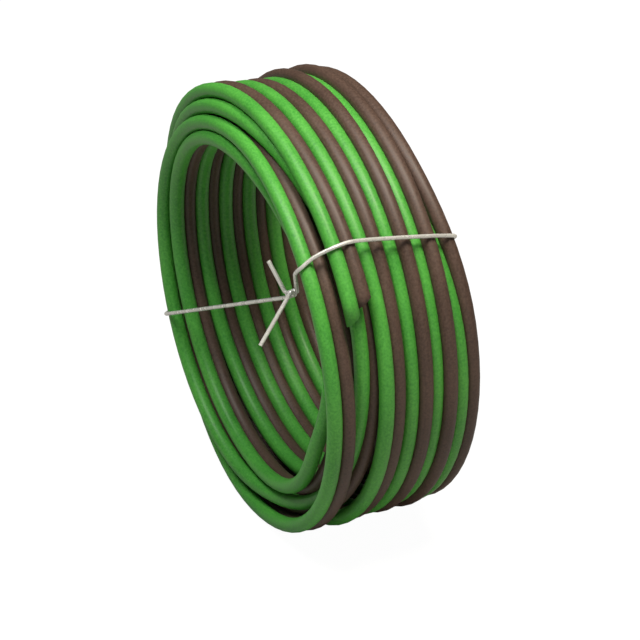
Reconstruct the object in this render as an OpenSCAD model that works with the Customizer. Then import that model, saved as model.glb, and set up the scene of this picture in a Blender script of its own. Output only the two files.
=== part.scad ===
// Coil of twin hose: a green and a brown tube wound side by side, held by one tie wire.
// The coil's axis lies along X and the coil stands on its rim at Z = 0.  The origin is
// under the middle of the whole part.

/* [Hose] */
// Outside diameter of each tube
tube_d = 6; // [5:0.5:8]
// Bore of each tube
bore_d = 4; // [2:0.5:5]
// Space between neighbouring tubes
tube_gap = 0.45; // [0.42:0.01:0.8]
// How far each pair is rolled over, green tube outwards
pair_tilt = 31; // [28:1:40]
// Length of the straight open end of each tube
end_len = 10; // [8:1:12]

/* [Coil] */
// Outside diameter of the full layers
coil_d = 180; // [160:5:260]
// How far the near side leans towards the tied face, and the far side away from it
lean = 6.5; // [0:0.5:8]
// Pairs side by side in a layer
pairs = 6; // [4:1:6]
// Depth of the flat that the coil stands on
stand_cut = 0.6; // [0.4:0.1:0.8]

/* [Tie wire] */
// Wire diameter
wire_d = 1.6; // [1:0.1:2]
// Space between the wire and the hose
wire_gap = 0.3; // [0.2:0.1:0.6]
// Turns in the twist
twist_turns = 1; // [1:1:2]
// Distance from the coil's inside edge to the middle of the twist
twist_inset = 5; // [4:1:12]
// Length of the upper free tail
upper_tail = 14; // [10:1:25]
// Length of the lower free tail
lower_tail = 23; // [10:1:30]

/* [Hidden] */

// Winding.  u counts turns from the inner end.  Angles go round the coil's axis: 0 is the
// bottom, 90 the near side (-Y) and 180 the top.  Both layers, and the last half turn that
// lies on top of them, come from one law for the middle of the pair.
ring_count = 24;                            // rings in a turn
ring_sides = 6;
slack = 0.1;
half = (tube_d + tube_gap) / 2;             // half of the spacing inside a pair
lift = half * sin(pair_tilt);               // green above and brown below the pair's middle
pitch = 4 * half * cos(pair_tilt) + slack;  // pair to pair along the axis
layer_rise = 2 * lift + 2 * half + slack;
top_rise = lift + 2 * half + slack;         // the last half turn lies flat on the greens
r_outer = coil_d / 2 - tube_d / 2 - lift;
r_inner = r_outer - layer_rise;
outer_end_angle = 112.5;
climb = 0.5;                                // a change of layer takes half a turn
past_rim = 0.28;                            // pitches that the outer layer passes pair 1
inner_turns = pairs - 0.5;                  // the inner ends lie behind the near side
u_layer2 = inner_turns + climb;
u_rim = u_layer2 + pairs - 1 + past_rim;    // the outer layer turns back at the -X rim
u_top = u_rim + climb;
rings = round((u_layer2 + pairs) * ring_count);
u_end = rings / ring_count;
right_bulge = 0.4 * pitch;                  // the pair swings out where it changes layer
left_bulge = 0.5 * pitch;

function ease(t) = (1 - cos(180 * t)) / 2;
function part_of(u, from, length) = min(max((u - from) / length, 0), 1);
function pair_x(u) =
    u < inner_turns ? pitch * (pairs - 1 - inner_turns + u) :
    u < u_layer2 ? pitch * (pairs - 1) + right_bulge * sin(180 * part_of(u, inner_turns, climb)) :
    u < u_rim ? pitch * (pairs - 1 + u_layer2 - u) :
    u < u_top ? -past_rim * pitch - left_bulge * sin(180 * part_of(u, u_rim, climb)) :
    pitch * ((1 + past_rim) * part_of(u, u_top, u_end - u_top) - past_rim);
function pair_r(u) = r_inner + layer_rise * ease(part_of(u, inner_turns, climb))
    + top_rise * ease(part_of(u, u_rim, climb));
function tilt(u) = pair_tilt * (1 - ease(part_of(u, u_rim, climb)));
function angle(u) = outer_end_angle + 360 * (u_end - u);

// side is 1 for the green tube and -1 for the brown one
function tube_x(u, side) = pair_x(u) - side * half * cos(tilt(u)) - lean * sin(angle(u));
function tube_r(u, side) = pair_r(u) + side * half * sin(tilt(u));
function out(a) = [0, -sin(a), -cos(a)];
function unit(v) = v / norm(v);
function square_to(v, t) = unit(v - (v * t) * t);
function middle_line(side) = [for (k = [0:rings]) let (u = k / ring_count)
    [tube_x(u, side), 0, 0] + tube_r(u, side) * out(angle(u))];
green_line = middle_line(1);
brown_line = middle_line(-1);

// Each tube ends straight: its last stretch runs along the chord to the mouth.
function mouth_way(line, last) = last ? unit(line[rings] - line[rings - 1])
    : unit(line[0] - line[1]);
function mouth(line, last) = last ? line[rings] : line[0];
function seat(line, last) = mouth(line, last) - end_len * mouth_way(line, last);

// Rings of points, and the skin over them
function ring(c, a, b, r, n) = [for (j = [0:n - 1]) let (w = 360 * j / n + 180 / n)
    c + r * (cos(w) * a + sin(w) * b)];
function end_ring(line, last) = let (t = mouth_way(line, last),
    a = square_to(out(angle(last ? u_end : 0)), t), b = square_to(square_to([1, 0, 0], t), a))
    ring(seat(line, last), a, b, tube_d / 2, ring_sides);
function hose_points(line) = [for (k = [0:rings]) each k == 0 ? end_ring(line, false)
    : k == rings ? end_ring(line, true)
    : ring(line[k], out(angle(k / ring_count)), [1, 0, 0], tube_d / 2, ring_sides)];
function skin(count, n) = concat(
    [[for (j = [0:n - 1]) j]],
    [for (k = [0:count - 2]) for (j = [0:n - 1]) each let (a = k * n + j, b = k * n + (j + 1) % n)
        [[a, a + n, b], [b, a + n, b + n]]],
    [[for (j = [n - 1:-1:0]) (count - 1) * n + j]]);

// The flat that the coil stands on
green_points = hose_points(green_line);
brown_points = hose_points(brown_line);
floor_z = min([for (p = green_points) p.z]) + stand_cut;
function flattened(points) = [for (p = points) [p.x, p.y, max(p.z, floor_z)]];

// Tie wire.  It lies in the plane that holds the coil's axis at wire_angle.  A place on it
// is [along the axis, out from the axis, round the axis].
wire_sides = 8;
wire_angle = outer_end_angle + 360 / ring_count;
wire_off = wire_gap + wire_d / 2;
bend_steps = 4;
function us(a) = [for (u = [u_end - (a - outer_end_angle) / 360 : -1 : 0]) u];
function front_x(a) = min([for (u = us(a)) tube_x(u, 1)]) - tube_d / 2 - wire_off;
function back_x(a) = max([for (u = us(a)) tube_x(u, -1)]) + tube_d / 2 + wire_off;
u_over = us(wire_angle)[0];
u_far = us(wire_angle + 180)[0];
rim = r_outer + lift + tube_d / 2 + wire_off;
over = tube_r(u_over, 1) + tube_d / 2 + wire_off;
far_rim = tube_r(u_far, 1) + tube_d / 2 + wire_off;
near_front = front_x(wire_angle);
far_front = front_x(wire_angle + 180);
near_back = back_x(wire_angle);
far_back = back_x(wire_angle + 180);
twist_r = wire_d / 2 + 0.1;
twist_pitch = 2 * PI * twist_r + slack;
twist_len = twist_turns * twist_pitch;
twist_mid = r_inner - lift - tube_d / 2 - twist_inset;
twist_steps = 12;                           // points in a turn of the twist
upper_way = [-0.40, -0.08, 0.91];
lower_way = [-0.60, -0.58, -0.55];
twist_out = twist_mid + twist_len / 2;
twist_in = twist_mid - twist_len / 2;
function twist(side) = [for (i = [0:twist_turns * twist_steps])
    let (t = i / (twist_turns * twist_steps), w = 360 * twist_turns * t + 90 - side * 90)
    [near_front - twist_r + twist_r * cos(w), twist_out - t * twist_len, twist_r * sin(w)]];

// A corner becomes a bend of bend_steps chords that starts and ends reach away from it.
function bend(a, b, c, reach) = let (p = b + unit(a - b) * min(reach, norm(a - b) / 2.1),
    q = b + unit(c - b) * min(reach, norm(c - b) / 2.1))
    [for (i = [0:bend_steps]) let (t = i / bend_steps)
        (1 - t) * (1 - t) * p + 2 * t * (1 - t) * b + t * t * q];
function bent(route, reach) = [for (i = [0:len(route) - 1])
    each i == 0 || i == len(route) - 1 ? [route[i]]
    : bend(route[i - 1], route[i], route[i + 1], reach)];

// The wire in order: lower tail, twist, once round the coil, twist again, upper tail
hook_corner = [near_front - 2 * twist_r - wire_d / 2, twist_out + wire_d / 2, -2 * wire_d];
upper_corner = [near_front, twist_in - wire_d, wire_d / 2];
lower_end = bent([
    hook_corner + lower_tail * unit(lower_way),
    hook_corner,
    hook_corner + [wire_d / 2, wire_d / 2, wire_d],
    [near_front - 2 * twist_r, twist_out + wire_d, 0]], wire_d);
round_coil = bent([
    [near_front - 2 * twist_r, twist_in - wire_d, 0],
    [far_front, tube_d - far_rim, 0],
    [far_front, -far_rim, 0],
    [far_back, -far_rim, 0],
    [far_back, tube_d - far_rim, 0],
    [near_back, rim - tube_d, 0],
    [near_back, rim, 0],
    [tube_x(u_over, -1), over, 0],
    [tube_x(u_over, 1), over, 0],
    [near_front, rim, 0],
    [near_front, twist_out + wire_d, 0]], tube_d / 2 + wire_off);
upper_end = bent([
    [near_front, twist_in - wire_d / 4, 0],
    upper_corner,
    upper_corner + upper_tail * unit(upper_way)], wire_d);
wire_route = concat(lower_end, twist(-1), round_coil, twist(1), upper_end);
function place(q) = [q[0], 0, 0] + q[1] * out(wire_angle)
    + q[2] * [0, -cos(wire_angle), sin(wire_angle)];
wire_line = [for (q = wire_route) place(q)];
wire_last = len(wire_line) - 1;
function run_way(i) = unit(wire_line[min(i + 1, wire_last)] - wire_line[max(i - 1, 0)]);
wire_across = [for (i = 0, a = square_to([1, 0, 0], run_way(0)); i <= wire_last;
    i = i + 1, a = i <= wire_last ? square_to(a, run_way(i)) : a) a];
wire_points = [for (i = [0:wire_last])
    each ring(wire_line[i], wire_across[i], cross(run_way(i), wire_across[i]), wire_d / 2, wire_sides)];

// The origin is put under the middle of everything.
all_points = concat(flattened(green_points), flattened(brown_points), wire_points);
function middle(i) = (min([for (p = all_points) p[i]]) + max([for (p = all_points) p[i]])) / 2;
shift = [-middle(0), -middle(1), -floor_z];

module hose(points, colour)
    color(colour) translate(shift)
        polyhedron(points = flattened(points), faces = skin(rings + 1, ring_sides));

module open_end(line, last, colour) {
    way = mouth_way(line, last);
    color(colour) translate(shift + seat(line, last))
        rotate([0, acos(way.z), atan2(way.y, way.x)])
            difference() {
                cylinder(h = end_len, d = tube_d, $fn = 48);
                translate([0, 0, -1]) cylinder(h = end_len + 2, d = bore_d, $fn = 48);
            }
}

green = "forestgreen";
brown = [0.30, 0.22, 0.19];
module green_hose() hose(green_points, green);
module brown_hose() hose(brown_points, brown);
module green_outer_end() open_end(green_line, true, green);
module brown_outer_end() open_end(brown_line, true, brown);
module green_inner_end() open_end(green_line, false, green);
module brown_inner_end() open_end(brown_line, false, brown);
module tie_wire()
    color("silver") translate(shift)
        polyhedron(points = wire_points, faces = skin(wire_last + 1, wire_sides));

// The least gap of each tube to itself and between the two, measured on the rings' middles
function gap(a, b, from) = min([for (i = [0:rings]) for (j = [i + from * ring_count:ring_count:rings])
    norm(a[i] - b[j])]) - tube_d;
function length_of(line) = sum([for (i = [1:len(line) - 1]) norm(line[i] - line[i - 1])]);
function sum(v, i = 0, total = 0) = i == len(v) ? total : sum(v, i + 1, total + v[i]);
echo(
    green_least_gap = gap(green_line, green_line, 1), brown_least_gap = gap(brown_line, brown_line, 1),
    pair_least_gap = min(gap(green_line, brown_line, 0), gap(brown_line, green_line, 0)),
    green_length = length_of(green_line), brown_length = length_of(brown_line),
    wire_length = length_of(wire_line));
stand_pair = 3;                             // the green tube of this pair stands on the floor
u_stand = u_end - stand_pair - (360 - outer_end_angle) / 360;
echo(stands_at = shift + [tube_x(u_stand, 1), 0, floor_z],
    green_mouth = shift + mouth(green_line, true), green_way = mouth_way(green_line, true),
    brown_mouth = shift + mouth(brown_line, true), brown_way = mouth_way(brown_line, true));

green_hose();
brown_hose();
green_outer_end();
brown_outer_end();
green_inner_end();
brown_inner_end();
tie_wire();
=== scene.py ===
import math
import bpy
import numpy as np
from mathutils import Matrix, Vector


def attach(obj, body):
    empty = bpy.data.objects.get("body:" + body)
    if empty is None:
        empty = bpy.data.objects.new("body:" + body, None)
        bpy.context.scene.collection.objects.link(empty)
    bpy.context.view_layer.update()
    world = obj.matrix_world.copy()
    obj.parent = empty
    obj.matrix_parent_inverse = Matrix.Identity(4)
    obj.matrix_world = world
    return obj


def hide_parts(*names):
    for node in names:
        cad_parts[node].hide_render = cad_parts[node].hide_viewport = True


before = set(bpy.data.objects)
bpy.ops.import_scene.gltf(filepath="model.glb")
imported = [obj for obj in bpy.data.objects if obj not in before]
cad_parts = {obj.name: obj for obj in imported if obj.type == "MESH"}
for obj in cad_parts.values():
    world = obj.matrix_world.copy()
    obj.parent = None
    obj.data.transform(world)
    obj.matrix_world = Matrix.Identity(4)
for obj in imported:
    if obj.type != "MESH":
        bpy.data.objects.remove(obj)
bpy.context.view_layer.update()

# ---------------------------------------------------------------------------------------
# Camera: a long lens, level with the horizon, that looks down on the coil from its front
# left, so that the front rim, the outer wall and the far side of the bore all show.
# ---------------------------------------------------------------------------------------
mm = 0.001
coil_middle = Vector((26.3, -2.2, 89.4)) * mm
view_turn = math.radians(31.5)
view_down = math.radians(27.5)
view_distance = 1532 * mm
image_width = 640
focal_pixels = 3830
shift_right = 19.0
shift_up = 34.5
forward = Vector((math.sin(view_turn) * math.cos(view_down),
                  math.cos(view_turn) * math.cos(view_down), -math.sin(view_down)))
camera = bpy.data.objects.new("camera", bpy.data.cameras.new("camera"))
bpy.context.collection.objects.link(camera)
camera.location = coil_middle - view_distance * forward
camera.rotation_euler = forward.to_track_quat("-Z", "Y").to_euler()
camera.data.sensor_width = 36
camera.data.lens = focal_pixels * camera.data.sensor_width / image_width
camera.data.shift_x = -shift_right / image_width
camera.data.shift_y = -shift_up / image_width
bpy.context.scene.camera = camera

# ---------------------------------------------------------------------------------------
# Hose: a green and a brown tube of soft extruded plastic, joined side by side and wound
# as one line in an outer and an inner layer. The last turns cross over each other at the
# front rim. Then every turn is pushed clear of its neighbours, as real turns are.
# ---------------------------------------------------------------------------------------
tube_d = 6 * mm
bore_d = 4 * mm
spacing = 5.75
steps_per_turn = 72
degrees_per_step = 360 / steps_per_turn
cut_angle = 112.5
pitch = 11.1
r_outer = 85.1
r_inner = 71.6
lean = 6.5
top_lean = 3.0
place = Vector((-17.5, -2.17, 89.417))

# Turns back from the cut end, then place along the axis, height over the outer layer and
# how far the pair is rolled over with the green tube outwards
winding = ((0.00, 8.4, 6.8, -8), (0.12, 9.2, 3.6, 0), (0.29, 9.9, 2.4, 0), (0.44, 14.0, 3.0, 0),
           (0.69, 2.8, 1.6, 0), (1.00, -1.5, 0.0, -4), (1.19, 3.9, -8.1, 0), (1.29, 3.9, -8.1, 0),
           (1.44, 4.0, -6.9, 0), (1.65, 2.2, -6.4, -10), (1.74, 4.4, -4.8, -45),
           (2.00, 13.9, -2.8, 12), (2.19, 6.9, -2.6, 0), (2.29, 6.9, -2.6, 0),
           (2.44, 14.5, -1.0, 10), (2.69, 17.2, 1.0, 12), (2.78, 17.9, 3.2, 10),
           (3.00, 21.7, 1.6, 8), (3.10, 22.8, 1.0, -12), (3.25, 24.0, 0.8, 5),
           (3.70, 29.5, 1.0, -5), (3.80, 31.0, 3.0, -9),
           (4.00, 33.6, 1.0, -20), (4.70, 41.4, 1.0, -16), (4.80, 42.5, 3.0, -15),
           (5.00, 44.7, 1.0, -16), (5.20, 46.0, 0.2, -16), (5.70, 52.0, 1.0, 3),
           (5.80, 53.1, 3.0, 4), (5.97, 54.6, 0.4, 5), (6.10, 51.8, -2.4, -45),
           (6.30, 52.4, -2.6, -45))
climb_start = 6.3
climb = 0.4
inner_start = 62.1
inner_from = 6.45
inner_swing = 3.2
inner_roll = -10
# Turns back from the cut end, then how far the last inner turns stray from the even pitch
stray = ((9.95, 0), (10.15, -3.0), (10.45, 0), (10.9, 0), (11.19, -2.9), (11.44, 0),
         (11.65, -1.5), (11.8, -2.5), (11.87, -1.5), (11.92, 4), (11.95, 7.5))
turns = 11.95


def curve(knots, t):
    """A smooth line through the knots (t, value), level beyond its ends."""
    t = min(max(t, knots[0][0]), knots[-1][0])
    i = max(j for j in range(len(knots) - 1) if knots[j][0] <= t)

    def slope(j):
        a, b = knots[max(j - 1, 0)], knots[min(j + 1, len(knots) - 1)]
        return (b[1] - a[1]) / (b[0] - a[0])

    (t_a, v_a), (t_b, v_b) = knots[i], knots[i + 1]
    h = t_b - t_a
    s = (t - t_a) / h
    return ((1 + 2 * s) * (1 - s) ** 2 * v_a + s * (1 - s) ** 2 * h * slope(i)
            + s * s * (3 - 2 * s) * v_b + s * s * (s - 1) * h * slope(i + 1))


def ease(t):
    return (1 - math.cos(math.pi * min(max(t, 0), 1))) / 2


def pair_at(s):
    """Place along the axis, radius and roll of the pair, s turns back from the cut end."""
    x, rise, roll = (curve([(k[0], k[j]) for k in winding], s) for j in (1, 2, 3))
    inside = ease((s - climb_start) / climb)
    swing = inner_swing * math.cos(math.radians(cut_angle + 360 * s))
    x_inner = inner_start - pitch * (s - inner_from) + swing + curve(stray, s)
    return tuple(a * (1 - inside) + b * inside
                 for a, b in ((x, x_inner), (r_outer + rise, r_inner), (roll, inner_roll)))


count = round(turns * steps_per_turn) + 1
section = np.zeros((2, count, 2))
for k in range(count):
    x, r, roll = pair_at(k / steps_per_turn)
    dx, dr = (spacing / 2 * f(math.radians(roll)) for f in (math.cos, math.sin))
    section[0, k] = x - dx, r + dr
    section[1, k] = x + dx, r - dr

# Every two turns that pass the same angle too close move apart, half each, and the moves
# are shared along the hose.
settle_passes = 160
settle_share = 0.45
largest_move = 0.5
least_apart = 0.5
push = np.zeros_like(section)
for settle in range(settle_passes):
    at = section + push
    move = np.zeros_like(push)
    for a in (0, 1):
        for b in (0, 1):
            for turn in range(0 if b > a else 1, math.ceil(turns) + 1):
                gap = turn * steps_per_turn
                if gap >= count:
                    continue
                apart = at[b, gap:] - at[a, :count - gap]
                far = np.maximum(np.linalg.norm(apart, axis=1), least_apart)
                short = np.clip(spacing - far, 0, 1)[:, None] * apart / far[:, None]
                move[a, :count - gap] -= settle_share * short
                move[b, gap:] += settle_share * short
    push += np.clip(move, -largest_move, largest_move)
    for smooth in range(2):
        inner = push[:, 1:-1]
        push[:, 1:-1] = 0.5 * inner + 0.25 * (push[:, 2:] + push[:, :-2])
section += push


def middle_line(side):
    """The hose's centreline in metres, from its inner end to its cut outer end."""
    points = []
    for k in range(count - 1, -1, -1):
        angle = math.radians(cut_angle + 360 * k / steps_per_turn)
        x, r = section[side, k]
        points.append((place + Vector((x - lean * math.sin(angle) + top_lean * math.cos(angle),
                                       -r * math.sin(angle), -r * math.cos(angle)))) * mm)
    return points


def tube_mesh(name, line, sides, outside, bore=0, bore_depth=0, slant=0):
    """A round tube along line. With a bore, both ends are open to bore_depth."""
    verts, faces, rows = [], [], []
    across = Vector((1, 0, 0))
    ends = ((line[1] - line[0]).normalized(), (line[-1] - line[-2]).normalized())

    def ring(centre, way, radius, tip=0):
        nonlocal across
        across = (across - across.dot(way) * way).normalized()
        b = way.cross(across)
        rows.append(len(verts))
        for j in range(sides):
            w = 2 * math.pi * j / sides
            p = centre + radius * (math.cos(w) * across + math.sin(w) * b)
            p += tip * (p - centre).x * way
            verts.append(Vector((p.x, p.y, max(p.z, 0))))
        if len(rows) > 1:
            near, far = rows[-2:]
            for j in range(sides):
                k = (j + 1) % sides
                faces.append((near + j, near + k, far + k, far + j))

    if bore:
        ring(line[0] + bore_depth * ends[0], ends[0], bore / 2)
        ring(line[0], ends[0], bore / 2)
    for i, centre in enumerate(line):
        way = (line[min(i + 1, len(line) - 1)] - line[max(i - 1, 0)]).normalized()
        ring(centre, way, outside / 2, slant if i == len(line) - 1 else 0)
    if bore:
        ring(line[-1], ends[1], bore / 2, slant)
        ring(line[-1] - bore_depth * ends[1], ends[1], bore / 2)
    faces.append(tuple(rows[0] + j for j in range(sides - 1, -1, -1)))
    faces.append(tuple(rows[-1] + j for j in range(sides)))
    mesh = bpy.data.meshes.new(name)
    mesh.from_pydata(verts, [], faces)
    mesh.update()
    # U counts the rings along the tube, V goes once round it
    uv = mesh.uv_layers.new(name="tube")
    for face in mesh.polygons:
        seam = face.vertices[0] % sides == sides - 1
        for corner, vertex in zip(face.loop_indices, face.vertices):
            v = vertex % sides
            round_tube = (sides if seam and v == 0 else v) / sides
            uv.data[corner].uv = ((vertex // sides) * 0.06, round_tube)
    piece = bpy.data.objects.new(name, mesh)
    bpy.context.collection.objects.link(piece)
    mesh.shade_smooth()
    return piece


def plastic(name, deep, lit, rough):
    """Extruded plastic: fine mottling, slow changes of shade and faint lines along the tube."""
    material = bpy.data.materials.new(name)
    material.use_nodes = True
    nodes, links = material.node_tree.nodes, material.node_tree.links
    shader = nodes["Principled BSDF"]
    where = nodes.new("ShaderNodeTexCoord")

    def noise(scale, detail, vector):
        node = nodes.new("ShaderNodeTexNoise")
        node.inputs["Scale"].default_value = scale
        node.inputs["Detail"].default_value = detail
        links.new(vector, node.inputs["Vector"])
        return node.outputs["Fac"]

    def plus(base, part, share):
        """base + part * share"""
        node = nodes.new("ShaderNodeMath")
        node.operation = "MULTIPLY_ADD"
        links.new(part, node.inputs[0])
        node.inputs[1].default_value = share
        if isinstance(base, float):
            node.inputs[2].default_value = base
        else:
            links.new(base, node.inputs[2])
        return node.outputs["Value"]

    stretch = nodes.new("ShaderNodeMapping")
    stretch.inputs["Scale"].default_value = (0.6, 26, 1)
    links.new(where.outputs["UV"], stretch.inputs["Vector"])
    mottle = noise(1100, 4, where.outputs["Object"])
    slow = noise(38, 2, where.outputs["Object"])
    lines = noise(1, 2, stretch.outputs["Vector"])
    grain = plus(plus(0.0, mottle, 0.55), lines, 0.15)
    shade = plus(grain, slow, 0.3)
    ramp = nodes.new("ShaderNodeValToRGB")
    ramp.color_ramp.elements[0].position = 0.36
    ramp.color_ramp.elements[1].position = 0.64
    ramp.color_ramp.elements[0].color = (*deep, 1)
    ramp.color_ramp.elements[1].color = (*lit, 1)
    satin = nodes.new("ShaderNodeMapRange")
    satin.inputs["From Min"].default_value = 0.35
    satin.inputs["From Max"].default_value = 0.65
    satin.inputs["To Min"].default_value = rough - 0.07
    satin.inputs["To Max"].default_value = rough + 0.09
    bump = nodes.new("ShaderNodeBump")
    bump.inputs["Strength"].default_value = 0.35
    bump.inputs["Distance"].default_value = 0.00012
    links.new(shade, ramp.inputs["Fac"])
    links.new(ramp.outputs["Color"], shader.inputs["Base Color"])
    links.new(shade, satin.inputs["Value"])
    links.new(satin.outputs["Result"], shader.inputs["Roughness"])
    links.new(grain, bump.inputs["Height"])
    links.new(bump.outputs["Normal"], shader.inputs["Normal"])
    shader.inputs["Specular IOR Level"].default_value = 0.4
    return material


green_plastic = plastic("green_plastic", (0.040, 0.25, 0.030), (0.095, 0.41, 0.055), 0.46)
brown_plastic = plastic("brown_plastic", (0.052, 0.031, 0.023), (0.108, 0.066, 0.048), 0.5)
hose_sides = 32
bore_shown = 10 * mm
cut_slant = -0.6
for name, side, material, slot, cut_back in (("green", 0, green_plastic, "green_tube", 0),
                                             ("brown", 1, brown_plastic, "brown_tube", 0.7)):
    line = middle_line(side)
    line[-1] = line[-1].lerp(line[-2], cut_back)
    hose = tube_mesh(name + "_soaker_hose", line, hose_sides, tube_d, bore_d, bore_shown, cut_slant)
    hose.data.materials.append(material)
    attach(hose, "root")
    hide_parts(name + "_hose", name + "_outer_end", name + "_inner_end")

# ---------------------------------------------------------------------------------------
# Tie wire: one piece of galvanised steel wire. It lies taut over the outer wall, goes once
# round the coil and is twisted on itself in the bore, with a free tail up and one down.
# ---------------------------------------------------------------------------------------
wire_d = 1.6
wire_sides = 16
near_step, far_step, twist_step = 3, 36.6, 2.1
near_sway = ((-9, 0), (-3, 1.9), (4, 2.5), (12, 2.7), (33, 0.8), (62, -2.4))
wire_off = tube_d / mm / 2 + wire_d / 2
twist_r = wire_d / 2 + 0.05
twist_length = 6.5
twist_turns = 1.25
twist_parts = 24
twist_middle = 67
twist_behind = 3.2
over_rim = 3
hull_points = 24
upper_tail, lower_tail = 13.5, 23.5
upper_way = Vector((-0.28, 0.38, 0.84)).normalized()
lower_way = Vector((-0.62, -0.12, -0.70)).normalized()
hook_step = Vector((-1.6, -1.2, 1.6))
corner_step = Vector((-0.8, 0.4, 0.6))


def spot(x, r, step, round_axis=0):
    """A point of the coil's half plane at a step, moved round the axis by round_axis."""
    angle = math.radians(cut_angle + 360 * step / steps_per_turn)
    return place + Vector((x - lean * math.sin(angle) + top_lean * math.cos(angle),
                           -r * math.sin(angle) - round_axis * math.cos(angle),
                           -r * math.cos(angle) + round_axis * math.sin(angle)))


def taut(step):
    """The shortest way over all the tubes that cross a half plane, from front to back."""
    rims = sorted((section[side, k, 0] + wire_off * math.cos(w),
                   section[side, k, 1] + wire_off * math.sin(w))
                  for side in (0, 1) for k in range(round(step), count, steps_per_turn)
                  for w in (2 * math.pi * j / hull_points for j in range(hull_points)))
    over = []
    for p in rims:
        while len(over) > 1 and ((over[-1][0] - over[-2][0]) * (p[1] - over[-2][1])
                                 >= (over[-1][1] - over[-2][1]) * (p[0] - over[-2][0])):
            over.pop()
        over.append(p)
    return over


def softened(points, step=2.5, rounds=3):
    """Corners cut round, the ends kept."""
    fine = [points[0]]
    for p in points[1:]:
        pieces = max(1, math.ceil((p - fine[-1]).length / step))
        start = fine[-1]
        fine += [start.lerp(p, (i + 1) / pieces) for i in range(pieces)]
    for cut in range(rounds):
        new = [fine[0]]
        for a, b in zip(fine, fine[1:]):
            new += [a.lerp(b, 0.25), a.lerp(b, 0.75)]
        fine = new + [fine[-1]]
    return fine


near_over, far_over = taut(near_step), taut(far_step)
twist_x = near_over[0][0] + twist_behind
twist_out = twist_middle + twist_length / 2


def twisted(side):
    """One of the two strands of the twist, side -1 or 1."""
    points = []
    for i in range(twist_parts + 1):
        t = i / twist_parts
        w = 2 * math.pi * twist_turns * t + (0 if side > 0 else math.pi)
        points.append(spot(twist_x + twist_r * math.cos(w), twist_out - t * twist_length,
                           twist_step, twist_r * math.sin(w)))
    return points


first_strand, second_strand = twisted(-1), twisted(1)
hook = first_strand[0] + hook_step
near_path = [near_over[-1]]
for x, r in reversed(near_over[:-1]):
    x_from, r_from = near_path[-1]
    parts = max(1, round(math.hypot(x - x_from, r - r_from) / 2))
    near_path += [(x_from + (x - x_from) * i / parts, r_from + (r - r_from) * i / parts)
                  for i in range(1, parts + 1)]
near_way = [spot(x, r, near_step + curve(near_sway, x) / degrees_per_step) for x, r in near_path]
round_coil = ([first_strand[-1]] + [spot(x, r, far_step) for x, r in far_over] + near_way
              + [spot(near_over[0][0], near_over[0][1] - over_rim, near_step), second_strand[0]])
upper_corner = second_strand[-1] + corner_step
wire_line = (softened([hook + lower_tail * lower_way, hook, first_strand[0]], 1.5)[:-1]
             + first_strand[:-1] + softened(round_coil)[:-1] + second_strand[:-1]
             + softened([second_strand[-1], upper_corner,
                         upper_corner + upper_tail * upper_way], 1.5))
wire = tube_mesh("tie_wire_steel", [p * mm for p in wire_line], wire_sides, wire_d * mm)
steel = bpy.data.materials.new("galvanised_wire")
steel.use_nodes = True
nodes, links = steel.node_tree.nodes, steel.node_tree.links
shader = nodes["Principled BSDF"]
where = nodes.new("ShaderNodeTexCoord")
spangle = nodes.new("ShaderNodeTexNoise")
spangle.inputs["Scale"].default_value = 160
spangle.inputs["Detail"].default_value = 2
zinc = nodes.new("ShaderNodeValToRGB")
zinc.color_ramp.elements[0].color = (0.60, 0.60, 0.56, 1)
zinc.color_ramp.elements[1].color = (0.88, 0.88, 0.83, 1)
shine = nodes.new("ShaderNodeMapRange")
shine.inputs["To Min"].default_value = 0.18
shine.inputs["To Max"].default_value = 0.36
links.new(where.outputs["Object"], spangle.inputs["Vector"])
links.new(spangle.outputs["Fac"], zinc.inputs["Fac"])
links.new(spangle.outputs["Fac"], shine.inputs["Value"])
links.new(zinc.outputs["Color"], shader.inputs["Base Color"])
links.new(shine.outputs["Result"], shader.inputs["Roughness"])
shader.inputs["Metallic"].default_value = 0.45
wire.data.materials.append(steel)
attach(wire, "root")
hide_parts("tie_wire")

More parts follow.
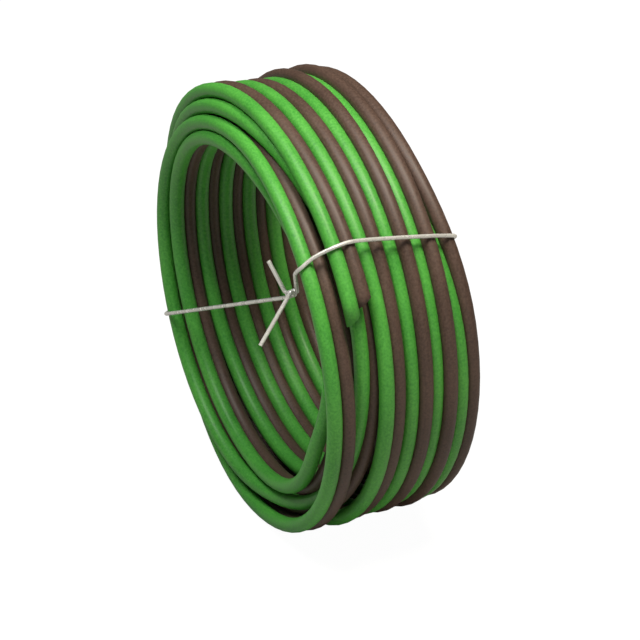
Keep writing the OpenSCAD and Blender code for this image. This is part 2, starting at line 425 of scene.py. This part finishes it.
# ---------------------------------------------------------------------------------------
# Studio: a white floor and backdrop, a warm key lamp above the near wall, a lamp above
# the front rim and a weak one low in front.
# ---------------------------------------------------------------------------------------
bpy.ops.mesh.primitive_plane_add(size=12, location=(0, 0, 0))
floor = bpy.context.object
floor.name = "floor"
white = bpy.data.materials.new("white_floor")
white.use_nodes = True
nodes, links = white.node_tree.nodes, white.node_tree.links
shader = nodes["Principled BSDF"]
shader.inputs["Base Color"].default_value = (0.4, 0.4, 0.4, 1)
shader.inputs["Roughness"].default_value = 0.9
path = nodes.new("ShaderNodeLightPath")
glow = nodes.new("ShaderNodeEmission")
glow.inputs["Strength"].default_value = 1.22
share = nodes.new("ShaderNodeMath")
share.operation = "MULTIPLY"
share.inputs[1].default_value = 0.8
both = nodes.new("ShaderNodeMixShader")
links.new(path.outputs["Is Camera Ray"], share.inputs[0])
links.new(share.outputs["Value"], both.inputs["Fac"])
links.new(shader.outputs["BSDF"], both.inputs[1])
links.new(glow.outputs["Emission"], both.inputs[2])
links.new(both.outputs["Shader"], nodes["Material Output"].inputs["Surface"])
floor.data.materials.append(white)

world = bpy.data.worlds.new("studio")
bpy.context.scene.world = world
world.use_nodes = True
nodes, links = world.node_tree.nodes, world.node_tree.links
background = nodes["Background"]
background.inputs["Color"].default_value = (1, 1, 1, 1)
path = nodes.new("ShaderNodeLightPath")
level = nodes.new("ShaderNodeMapRange")
level.inputs["To Min"].default_value = 0.055
level.inputs["To Max"].default_value = 1.05
links.new(path.outputs["Is Camera Ray"], level.inputs["Value"])
links.new(level.outputs["Result"], background.inputs["Strength"])


def lamp(name, at, size, power, colour):
    light = bpy.data.lights.new(name, "AREA")
    light.size = size
    light.energy = power
    light.color = colour
    thing = bpy.data.objects.new(name, light)
    bpy.context.collection.objects.link(thing)
    thing.location = at
    thing.rotation_euler = (coil_middle - Vector(at)).to_track_quat("-Z", "Y").to_euler()


lamp("key_lamp", (0.12, -0.44, 1.4), 0.4, 19.5, (1.0, 0.91, 0.78))
lamp("rim_lamp", (-0.45, -0.06, 1.25), 0.5, 11, (1.0, 1.0, 0.98))
lamp("front_lamp", (-0.25, -1.6, 0.2), 0.8, 2.3, (1.0, 0.96, 0.9))

bpy.context.scene.view_settings.view_transform = "Standard"
